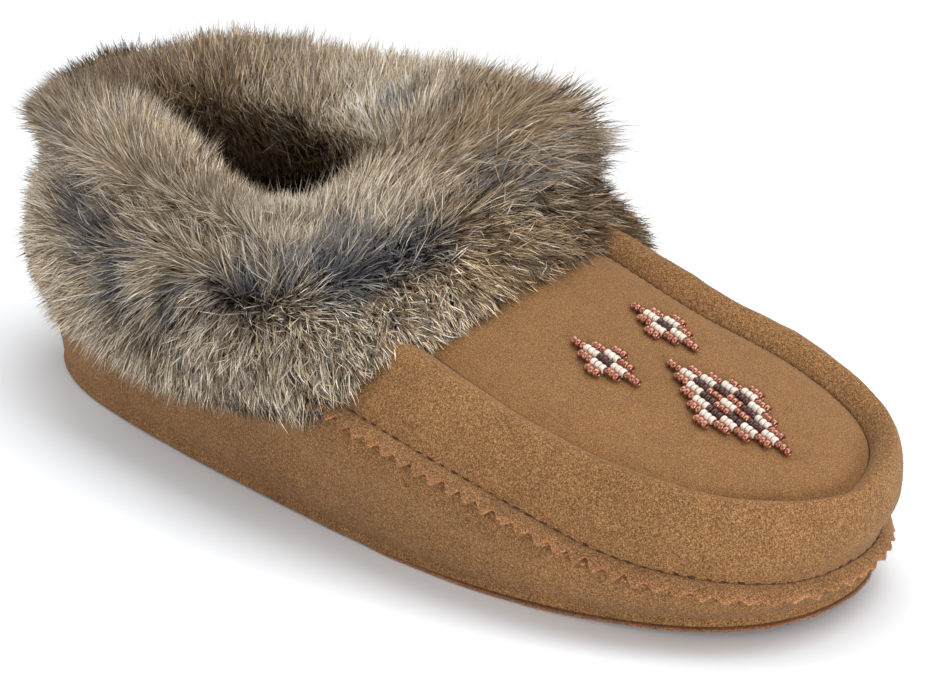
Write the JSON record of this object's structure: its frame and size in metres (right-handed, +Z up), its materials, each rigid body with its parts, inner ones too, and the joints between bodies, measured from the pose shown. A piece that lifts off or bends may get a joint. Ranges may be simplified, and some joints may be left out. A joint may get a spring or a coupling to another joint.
{
  "type": "fur-cuffed moccasin slipper",
  "caption": "Low suede moccasin slipper for the right foot, with a deep rabbit-fur cuff, a smooth crowned plug, a pinked side seam and beaded diamonds.",
  "frame": {"origin": "middle of the object's footprint box, on the floor under the flat sole", "axes": "+X from heel to toe, +Y to the medial (big-toe) side of this right shoe, +Z up from the sole"},
  "size_m": [0.2674, 0.1082, 0.0872],
  "materials": {
    "suede": "matt tan suede with a short nap",
    "sole_suede": "matt suede with a raw reddish-brown cut edge",
    "footbed": "short brown pile",
    "fur": "long soft rabbit fur, grey below, banded brown and cream at the tips",
    "beads": "glossy seed beads in metallic copper, pearly cream and dark brown"
  },
  "bodies": {
    "root": {"outsole": "sole_suede", "insole": "footbed", "upper": "suede", "vamp_plug": "suede", "pinked_seam": "suede", "fur_cuff": "fur", "beads_large": "beads", "beads_small_lateral": "beads", "beads_small_medial": "beads"}
  },
  "joints": []
}
